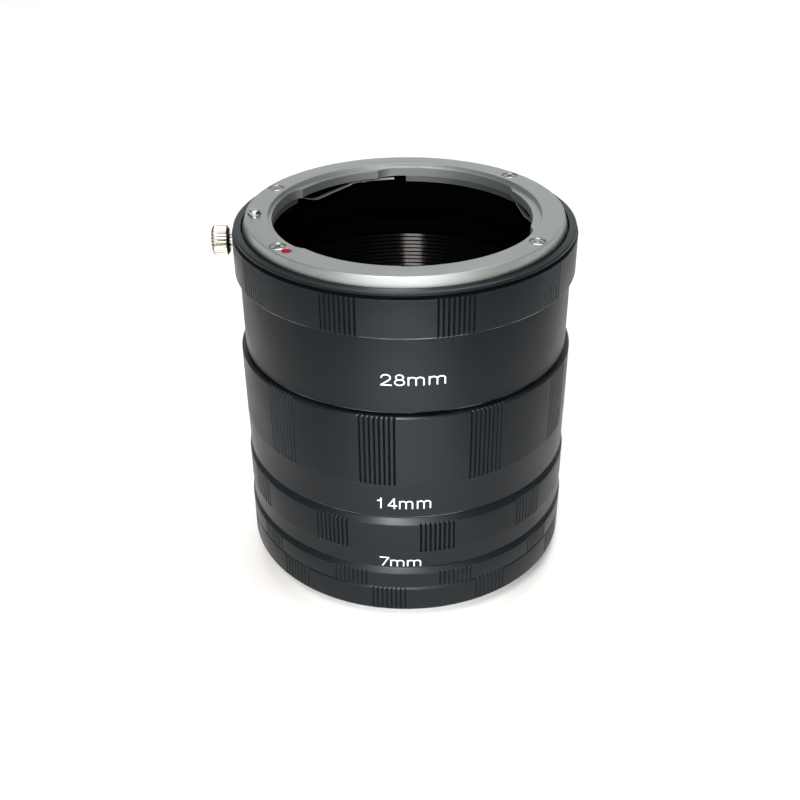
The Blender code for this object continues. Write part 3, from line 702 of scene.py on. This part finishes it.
def plateOutline(collarLow, low, top, r):
    s = lensPlate
    ledge = top - s["recessDepth"]
    edge = s["tabEdge"]
    recess, tab = s["recess"], s["tab"]
    bore = ((recess + s["recessEdge"], top), (recess, top - edge), (recess, ledge), (tab + edge, ledge),
            (tab, ledge - edge), (tab, low + edge), (tab + edge, low), (s["collar"], low),
            (s["collar"], collarLow), (s["collarOuter"], collarLow), (s["collarOuter"], low))
    side = lowerEdge(r, low, s["foot"]) + [(r, top - s["sideHeight"], 0)]
    rim = roundedTop(r - s["sideLean"], top, s["edge"], s["edge"])
    return side + rim + [(radius, z, 0) for radius, z in bore]


def tabTools(middle, collarLow, low, top):
    # the gap after one tab, the window in the collar behind it and the hole for its rivet
    s = lensPlate
    past = stack["past"]
    half = (120 - s["tabWidth"]) / 2
    gap = gapTool(low - past, top + past, middle + 60 - half, middle + 60 + half)
    window = sectorTool(s["tab"] - past, s["collarOuter"] + 0.3, middle + s["windowLow"],
                        middle + s["windowHigh"], collarLow - past, low + s["windowRelief"])
    place = polar(leaf["inner"] + leaf["width"] / 2, middle + leaf["rivet"])
    floor = low + s["windowRelief"] + s["rivetDepth"]
    return [gap, window, bar("rivetHole", s["rivetHole"], place, low - past, floor, leaf["holeSides"])]


def giveBoreFinishes(plate, low):
    # the upright walls in the bore are milled, and all below the tabs takes a darker chrome as painted shade
    hair = 0.02
    for finish in (milledFinish, shadedCollarFinish):
        plate.data.materials.append(finish)
    for face in plate.data.polygons:
        inBore = nearAxis(face, lensPlate["collarOuter"] - 0.1)
        face.material_index = int(inBore and abs(face.normal.z) < 0.5)
        if inBore and face.center.z < (low + hair) * mm:
            # faces below the tabs take the darker chrome: painted shade
            face.material_index = 2


def buildLensPlate():
    s = lensPlate
    collarLow, top = seatOf("lens_mount_plate")
    low = top - s["thickness"]
    past, edge = stack["past"], s["pinEdge"]
    outline = plateOutline(collarLow, low, top, s["radius"] * stack["trueRound"])
    plate = turned("lensPlate", outline, evenAngles(stack["sides"]), plateFinish)
    tools = [tool for middle in tabAngles for tool in tabTools(middle, collarLow, low, top)]
    tools += [countersink(s["screwCircle"], angle, top) for angle in screwAngles]
    hole = s["pinHole"]
    rows = [(0, low - past), (hole, low - past), (hole, top - edge), (hole + edge, top),
            (hole + edge, top + past), (0, top + past)]
    tools.append(pin("hole", rows, pinSides, None, pinPlace))
    place = polar(s["screwCircle"], s["dotAngle"])
    dot, deep = s["dotRadius"], s["dotDepth"]
    rows = [(0, top - deep), (dot * 0.7, top - deep * 0.8), (dot, top), (dot, top + past), (0, top + past)]
    tools.append(pin("dimple", rows, pinSides, None, place))
    cutAway(plate, tools)
    giveBoreFinishes(plate, low)
    settle(plate, "lens_end", "satin_chrome_plate", "lens_mount_plate")
    coat = dot * 1.02
    rows = [(0, top - deep - 0.02), (dot * 0.9, top - deep * 0.5), (coat, top), (coat, top + 0.01),
            (0, top + 0.02)]
    settle(pin("indexDot", rows, 40, redPaint, place), "lens_end", None)


# the male bayonet plate on the camera end
cameraPlate = {"flange": 30.4, "flangeThickness": 1.4, "neck": 23.6, "neckBore": 21.8, "tab": 24.8,
               "tabTop": 2.5, "tabThickness": 1.7, "tabWidth": 48.0, "firstTab": 65.0, "screwCircle": 27.1,
               "soft": 0.15}


def buildCameraPlate():
    s = cameraPlate
    low, top = seatOf("camera_mount_plate")
    face = top - s["flangeThickness"]
    r = s["flange"] * stack["trueRound"]
    tabHigh = face - s["tabTop"]
    tabLow = tabHigh - s["tabThickness"]
    neck, bore, tab = s["neck"], s["neckBore"], s["tab"]
    corners = ((bore, low), (neck, low), (neck, tabLow), (tab, tabLow), (tab, tabHigh), (neck, tabHigh),
               (neck, face), (r, face), (r, top), (bore, top))
    outline = softened(corners, s["soft"])
    plate = turned("cameraPlate", outline, evenAngles(stack["sides"]), plateFinish)
    past = stack["past"]
    half = (120 - s["tabWidth"]) / 2
    tools = []
    for middle in (s["firstTab"] + 60 + 120 * i for i in range(3)):
        tools.append(sectorTool(neck - 0.1, tab + past, middle - half, middle + half, tabLow - s["soft"],
                                tabHigh + s["soft"]))
    tools += [countersink(s["screwCircle"], angle, face, up=-1) for angle in screwAngles]
    tools.append(bar("hole", lensPlate["pinHole"], pinPlace, face - past, top + past))
    cutAway(plate, tools)
    settle(plate, "camera_end", "satin_chrome_plate", "camera_mount_plate")


# leaf springs under the tabs: bowed strips with a flat foot held by a domed rivet
leaf = {"inner": 24.2, "width": 0.9, "thickness": 0.25, "edge": 0.05, "drop": 0.425, "bow": 1.5,
        "hook": 20.5, "low": 9.3, "foot": -9.4, "end": -30.5, "rivet": -15.3, "ease": 0.65, "stations": 90,
        "holeSides": 24}
rivet = {"dome": ((0, 0.25), (0.25, 0.24), (0.42, 0.17), (0.5, 0.06), (0.5, 0)), "shank": 0.28, "gap": 0.1,
         "reach": 0.9, "sides": 32}


def leafShape(offset):
    # share of the bow: steep to the hook, long to the foot
    if offset <= leaf["foot"]:
        return 0.0
    if offset >= leaf["low"]:
        return math.sin((leaf["hook"] - offset) / (leaf["hook"] - leaf["low"]) * math.pi / 2)
    return ((offset - leaf["foot"]) / (leaf["low"] - leaf["foot"])) ** leaf["ease"]


def buildLeafSpring(number, middle, rest):
    t, edge = leaf["thickness"] / 2, leaf["edge"]
    inner, outer = leaf["inner"], leaf["inner"] + leaf["width"]
    section = ((inner + edge, -t), (outer - edge, -t), (outer, edge - t), (outer, t - edge),
               (outer - edge, t), (inner + edge, t), (inner, t - edge), (inner, edge - t))
    vertices = []
    for i in range(leaf["stations"] + 1):
        offset = leaf["hook"] + (leaf["end"] - leaf["hook"]) * i / leaf["stations"]
        z = rest - leaf["bow"] * leafShape(offset)
        vertices += [atAxis(polar(r, middle + offset, z + h)) for r, h in section]
    faces = skin(leaf["stations"] + 1, len(section))
    strip = finishMesh(f"leafSpring{number}", vertices, faces, springFinish, sharpAngle=40)
    place = polar(inner + leaf["width"] / 2, middle + leaf["rivet"])
    hole = bar("rivetHole", lensPlate["rivetHole"], place, rest - stack["past"], rest + stack["past"],
               leaf["holeSides"])
    cutAway(strip, [hole])
    settle(strip, "lens_end", "bright_steel", f"leaf_spring_{number}")
    return place


def buildRivet(number, place, head, tip):
    # a domed head under the strip, and the shank that goes up into the tab
    rows = [(radius, head - drop) for radius, drop in rivet["dome"]]
    rows += [(rivet["shank"], head), (rivet["shank"], tip), (0, tip)]
    piece = pin(f"rivet{number}", rows, rivet["sides"], steelFinish, place)
    settle(piece, "lens_end", "bright_steel", f"spring_rivet_{number}")


def buildLeafSprings():
    tabLow = seatOf("lens_mount_plate")[1] - lensPlate["thickness"] + lensPlate["windowRelief"]
    rest = tabLow - leaf["drop"]
    for number, middle in enumerate(tabAngles, 1):
        place = buildLeafSpring(number, middle, rest)
        buildRivet(number, place, rest - leaf["thickness"] / 2 - rivet["gap"], tabLow + rivet["reach"])


buildLensRing()
buildLensPlate()
buildCameraPlate()
buildLeafSprings()

# countersunk cross-head screws of both plates
screw = {"head": 1.36, "headHeight": 0.75, "shank": 0.8, "sink": 0.12, "dome": 0.7, "point": 0.15,
         "crossLength": 1.5, "crossWidth": 0.36, "crossDepth": 0.45, "turn": 20, "lensLength": 4.6,
         "cameraLength": 2.7}


def buildScrew(end, number, place, up):
    # place is (circle, angle, z); the cross stands on the screw's own axis until it is turned and moved
    s = screw
    face, length = -s["sink"], s[end + "Length"]
    rows = [(0, -length), (s["shank"] - s["point"], -length), (s["shank"], s["point"] - length),
            (s["shank"], -s["headHeight"]), (s["head"], face - 0.1), (s["head"], face - 0.06),
            (s["head"] - 0.08, face), (s["dome"], face + 0.06), (0, face + 0.08)]
    piece = pin(f"{end}Screw{number}", rows, pinSides, steelFinish, (0, 0, 0))
    w, l = s["crossWidth"] / 2, s["crossLength"] / 2
    bars = []
    for turn in (0, 90):
        spin = Matrix.Rotation(math.radians(turn), 3, "Z")
        points = [spin @ Vector((x, y, 0)) for x, y in ((-l, -w), (l, -w), (l, w), (-l, w))]
        bars.append(prism("bar", points, -s["crossDepth"], stack["past"]))
    cutAway(piece, bars)
    spin = Matrix.Rotation(math.radians(place[1] + s["turn"]), 4, "Z")
    if not up:
        spin = spin @ Matrix.Rotation(math.pi, 4, "X")
    piece.matrix_world = Matrix.Translation(atAxis(polar(*place))) @ spin
    settle(piece, f"{end}_end", "bright_steel", f"{end}_plate_screw_{number}")


def buildScrews():
    plateTop = seatOf("lens_mount_plate")[1]
    face = seatOf("camera_mount_plate")[1] - cameraPlate["flangeThickness"]
    for number, angle in enumerate(screwAngles, 1):
        buildScrew("lens", number, (lensPlate["screwCircle"], angle, plateTop), up=True)
        buildScrew("camera", number, (cameraPlate["screwCircle"], angle, face), up=False)


def buildLockPin():
    seat = seatOf("lens_mount_ring")[1] - lensRing["seatDepth"]
    foot = seat - lockPin["bodyLength"]
    tip = seatOf("lens_mount_plate")[1] + lockPin["proud"]
    r, body, edge = lockPin["radius"], lockPin["bodyRadius"], lockPin["edge"]
    rows = [(0, foot), (body - edge, foot), (body, foot + edge), (body, seat - edge), (body - edge, seat),
            (r, seat)]
    rows += [(r - inward, tip - drop) for inward, drop in lockPin["nose"]] + [(0, tip)]
    piece = pin("lockPin", rows, pinSides, steelFinish, pinPlace)
    settle(piece, "release", "bright_steel", "lock_pin")


# the coil under the lock pin: close turns at both ends
coil = {"wire": 0.12, "turns": 4.5, "perTurn": 36, "wireSides": 10, "closePitch": 0.25}


def buildCoil():
    c = coil
    low, high = seatOf("lock_pin_spring")
    wire, turns = c["wire"], c["turns"]
    radius = lockPin["bodyRadius"] - 2 * wire
    openPitch = (high - low - 2 * wire - 2 * c["closePitch"]) / (turns - 2)
    steps = int(turns * c["perTurn"])
    vertices = []
    for i in range(steps + 1):
        turn = turns * i / steps
        closeTurns = min(turn, 1) + max(turn - turns + 1, 0)
        z = low + wire + closeTurns * c["closePitch"] + (turn - closeTurns) * openPitch
        for angle in evenAngles(c["wireSides"]):
            offset = polar(wire, angle)
            vertices.append(atAxis(pinPlace + polar(radius + offset.x, 360 * turn, z + offset.y)))
    faces = skin(steps + 1, c["wireSides"])
    piece = finishMesh("pinSpring", vertices, faces, springFinish, sharpAngle=40)
    settle(piece, "lens_end", "bright_steel", "lock_pin_spring")
    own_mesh(piece)


# release knob: a ribbed head on a stem, turned on a line out from the axis
knob = {"radius": 2.82, "length": 3.42, "standOff": 0.42, "ribs": 24, "perRib": 8, "ribDepth": 0.3,
        "ribWidth": 1.6, "inner": 0.75, "round": 1.0, "roundHeight": 0.7, "stem": 1.05, "tip": 0.7}


def knobRows():
    # rows of (radius, distance from the optical axis, share of the rib's depth)
    k = knob
    tip, stem, head = k["tip"], k["stem"], k["radius"]
    near = lensRing["radius"] + k["standOff"]
    far = near + k["length"]
    tipStart = lockPin["circle"] - lockPin["bodyRadius"] / 2
    stemStart = lockPin["circle"] + lockPin["bodyRadius"] + lockPin["slide"]
    rows = [(0, tipStart, 0), (tip - 0.1, tipStart, 0), (tip, tipStart + 0.1, 0), (tip, stemStart, 0),
            (stem, stemStart, 0), (stem, near - 0.08, 0), (stem + 0.1, near, 0), (head - k["inner"], near, 0),
            (head - 0.3, near + 0.34, 0.3), (head, near + 0.55, 1), (head, far - 0.72, 1)]
    rounding = roundedTop(head, far, k["round"], k["roundHeight"])
    last = len(rounding) - 1
    rows += [(radius, reach, 1 - i / last) for i, (radius, reach, _) in enumerate(rounding)]
    return rows + [(0, far, 0)]


def buildKnob():
    k = knob
    z = seatOf("lens_mount_ring")[1] - lensRing["seatDepth"] - lockPin["knobDrop"]

    def ribbed(row, i):
        wave = (1 - math.cos(2 * math.pi * i / k["perRib"])) / 2
        return row[0] - row[2] * k["ribDepth"] * wave ** k["ribWidth"]

    vertices, faces = spun(knobRows(), k["ribs"] * k["perRib"], ribbed)
    piece = finishMesh("releaseKnob", vertices, faces, knobFinish, sharpAngle=30)
    outward = Matrix.Rotation(math.radians(lockPin["angle"]), 4, "Z") @ Matrix.Rotation(math.pi / 2, 4, "Y")
    piece.matrix_world = Matrix.Translation(atAxis((0, 0, z))) @ outward
    settle(piece, "release", "nickel_plated_brass", "release_knob")


buildScrews()
buildLockPin()
buildCoil()
buildKnob()

# white size markings, drawn as strokes of one width with round ends
# each letter is (letter, left edge, right edge) in degrees
marking = {
    "stroke": 0.25,
    "lift": 0.015,
    "layer": 0.003,        # each stroke of a letter lies this much above the last
    "step": 0.15,
    "mark28": {
        "node": "tube_28mm", "body": "tube_28", "radius": 31.65, "foot": 5.7, "cap": 2.3, "small": 1.78,
        "letters": (("2", -98.0, -94.35), ("8", -93.65, -90.2), ("m", -89.4, -84.1), ("m", -82.8, -77.35)),
    },
    "mark14": {
        "node": "tube_14mm", "body": "tube_14", "radius": 32.44, "foot": 2.11, "cap": 2.46, "small": 1.9,
        "letters": (("1", -99.6, -97.8), ("4", -96.14, -92.95), ("m", -92.4, -87.8), ("m", -86.6, -81.96)),
    },
    "mark7": {
        "node": "tube_7mm", "body": "tube_7", "radius": 32.69, "foot": 0.4, "cap": 2.18, "small": 1.58,
        "letters": (("7", -99.07, -95.83), ("m", -95.5, -90.8), ("m", -89.9, -85.2)),
    },
}


def arc(cx, cy, rx, ry, start, end, steps=20):
    turns = [math.radians(start + (end - start) * i / steps) for i in range(steps + 1)]
    return [(cx + rx * math.cos(a), cy + ry * math.sin(a)) for a in turns]


def strokesOf(letter):
    # centre lines of one letter in a box from (0, 0) to (1, 1)
    if letter == "1":
        return [[(0, 0.74), (0.45, 0.76), (0.75, 0.86), (0.8, 1)], [(0.8, 1), (0.8, 0)]]
    if letter == "2":
        return [arc(0.48, 0.7, 0.44, 0.3, 175, -35) + [(0, 0)], [(0, 0), (1, 0)]]
    if letter == "4":
        return [[(0.72, 1), (0, 0.27)], [(0, 0.27), (1, 0.27)], [(0.72, 1), (0.72, 0)]]
    if letter == "7":
        return [[(0, 1), (1, 1)], [(1, 1), (0.28, 0)]]
    if letter == "8":
        return [arc(0.5, 0.76, 0.4, 0.24, 0, 360), arc(0.5, 0.27, 0.5, 0.27, 0, 360)]
    arches = [arc(middle, 0.7, 0.25, 0.3, 180, 0) + [(middle + 0.25, 0)] for middle in (0.25, 0.75)]
    return [[(0, 1), (0, 0)]] + arches


def ribbon(path, half):
    # rows of (left, right) points along a path, with round ends
    corners = [Vector(p) for p in path]
    points = corners[:1]
    for here, there in zip(corners, corners[1:]):
        count = max(1, round((there - here).length / marking["step"]))
        points += [here.lerp(there, i / count) for i in range(1, count + 1)]
    last = len(points) - 1
    ahead = [(points[min(i + 1, last)] - points[max(i - 1, 0)]).normalized() for i in range(last + 1)]
    rows = [(p, t, half) for p, t in zip(points, ahead)]
    ends = [(math.sin(a) * half, math.cos(a) * half) for a in quarterTurn[1:]]
    rows = [(points[0] - ahead[0] * out, ahead[0], wide) for out, wide in reversed(ends)] + rows
    rows += [(points[-1] + ahead[-1] * out, ahead[-1], wide) for out, wide in ends]
    sides = ((p, Vector((-t.y, t.x)) * wide) for p, t, wide in rows)
    return [(p + side, p - side) for p, side in sides]


def buildMarking(name):
    m = marking[name]
    half = marking["stroke"] / 2
    foot = seatOf(m["node"])[0] + stack["thread"] + m["foot"]
    surface = m["radius"] * stack["trueRound"] + marking["lift"]
    vertices, faces = [], []
    for letter, left, right in m["letters"]:
        wide = math.radians(right - left) * surface - 2 * half
        tall = (m["small"] if letter == "m" else m["cap"]) - 2 * half
        for layer, stroke in enumerate(strokesOf(letter)):
            first = len(vertices)
            rows = ribbon([(half + u * wide, half + v * tall) for u, v in stroke], half)
            for row in rows:
                for p in row:
                    angle = left + math.degrees(p.x / surface)
                    vertices.append(atAxis(polar(surface + marking["layer"] * layer, angle, foot + p.y)))
            starts = range(first, first + 2 * (len(rows) - 1), 2)
            faces += [(i, i + 1, i + 3, i + 2) for i in starts]
    mesh = bpy.data.meshes.new(name)
    mesh.from_pydata(vertices, [], faces)
    mesh.materials.append(whitePaint)
    mesh.shade_smooth()
    settle(shown(name, mesh), m["body"], None)


for name in ("mark28", "mark14", "mark7"):
    buildMarking(name)

# camera at the photograph's angle; the lens is given in widths of the picture
view = {"place": (0, -187.9, 149.65), "down": 31.63, "yaw": -0.37, "roll": -0.52, "lens": 1.325,
        "sensor": 36, "near": 0.005, "far": 20}


def buildCamera():
    yaw, down, roll = (math.radians(view[k]) for k in ("yaw", "down", "roll"))
    ahead = Vector((math.sin(yaw) * math.cos(down), math.cos(yaw) * math.cos(down), -math.sin(down)))
    right = Vector((math.cos(yaw), -math.sin(yaw), 0))
    up = right.cross(ahead)
    across = math.cos(roll) * right + math.sin(roll) * up
    upright = -math.sin(roll) * right + math.cos(roll) * up
    data = bpy.data.cameras.new("camera")
    data.lens = view["lens"] * view["sensor"]
    data.sensor_width = view["sensor"]
    data.clip_start = view["near"]
    data.clip_end = view["far"]
    camera = shown("camera", data)
    turn = Matrix((across, upright, -ahead)).transposed().to_4x4()
    camera.matrix_world = Matrix.Translation(atAxis(view["place"])) @ turn
    scene.camera = camera


# soft studio: a pale tent that is brighter in front and behind, a softbox above and a warm lamp in front
studio = {
    "floor": "f2f2f1", "floorRoughness": 0.8, "floorSize": 6.0, "floorDrop": 0.0002,
    "tentColour": "eef2f5", "tent": 0.3,
    "lobes": (
        {"towards": (0, 1.0, 0.0), "start": 0.7, "end": 0.96, "strength": 0.58},
        {"towards": (0, -0.9987, 0.05), "start": 0.56, "end": 0.97, "strength": 3.0},
    ),
    "aimHeight": 0.04,
    "key": {"power": 4.6, "size": 0.17, "place": (-0.075, -0.57, 0.67), "colour": "fff5ee"},
    "top": {"power": 14.0, "size": 1.1, "place": (0.1, 0.42, 1.4), "colour": "ffffff"},
    "pools": (
        {"power": 150.0, "spread": 16.0, "place": (0.0, -0.64, 0.42), "target": (0.002, -0.166, 0.0)},
        {"power": 120.0, "spread": 24.0, "place": (0.0, -0.9, 0.8), "target": (0.0, -0.4, 0.0)},
    ),
}


def aim(name, data, place, target):
    lamp = shown(name, data)
    lamp.location = place
    lamp.rotation_mode = "QUATERNION"
    lamp.rotation_quaternion = (Vector(target) - Vector(place)).to_track_quat("-Z", "Y")
    return lamp


def buildSoftbox(name, s):
    data = bpy.data.lights.new(name, "AREA")
    data.shape = "DISK"
    data.energy = s["power"]
    data.size = s["size"]
    data.color = linear(s["colour"])[:3]
    aim(name, data, s["place"], (0.0, 0.0, studio["aimHeight"]))


def buildPool(s):
    # a pool of light on the floor in front, which the walls and the plate's edge pick up
    data = bpy.data.lights.new("floorPool", "SPOT")
    data.energy = s["power"]
    data.spot_size = math.radians(s["spread"])
    data.spot_blend = 1.0
    data.shadow_soft_size = 0.01
    lamp = aim("floorPool", data, s["place"], s["target"])
    lamp.visible_glossy = False


def buildTent():
    world = bpy.data.worlds.new("studio")
    scene.world = world
    world.use_nodes = True
    tree = world.node_tree
    back = tree.nodes["Background"]
    back.inputs["Color"].default_value = linear(studio["tentColour"])
    way = addNode(tree, "TexCoord", {}).outputs["Generated"]
    glow = None
    for lobe in studio["lobes"]:
        settings = {"operation": "DOT_PRODUCT", 1: lobe["towards"]}
        towards = addNode(tree, "VectorMath", settings, [(0, way)])
        settings = {"interpolation_type": "SMOOTHSTEP", "From Min": lobe["start"], "From Max": lobe["end"],
                    "To Min": 0.0, "To Max": lobe["strength"]}
        shine = addNode(tree, "MapRange", settings, [("Value", towards.outputs["Value"])])
        settings = {"operation": "ADD", 1: studio["tent"]}
        total = addNode(tree, "Math", settings, [(0, shine.outputs["Result"])])
        if glow is not None:
            tree.links.new(glow, total.inputs[1])
        glow = total.outputs["Value"]
    tree.links.new(glow, back.inputs["Strength"])


def buildStudio():
    bm = bmesh.new()
    bmesh.ops.create_grid(bm, x_segments=8, y_segments=8, size=studio["floorSize"] / 2)
    mesh = bpy.data.meshes.new("floor")
    bm.to_mesh(mesh)
    bm.free()
    mesh.materials.append(startMaterial("whitePaperFloor", studio["floor"], studio["floorRoughness"])[0])
    floor = shown("floor", mesh)
    floor.location = (0, 0, -studio["floorDrop"])
    buildTent()
    buildSoftbox("keyLamp", studio["key"])
    buildSoftbox("topSoftbox", studio["top"])
    for pool in studio["pools"]:
        buildPool(pool)
    scene.view_settings.view_transform = "Standard"
    scene.view_settings.look = "None"


buildCamera()
buildStudio()
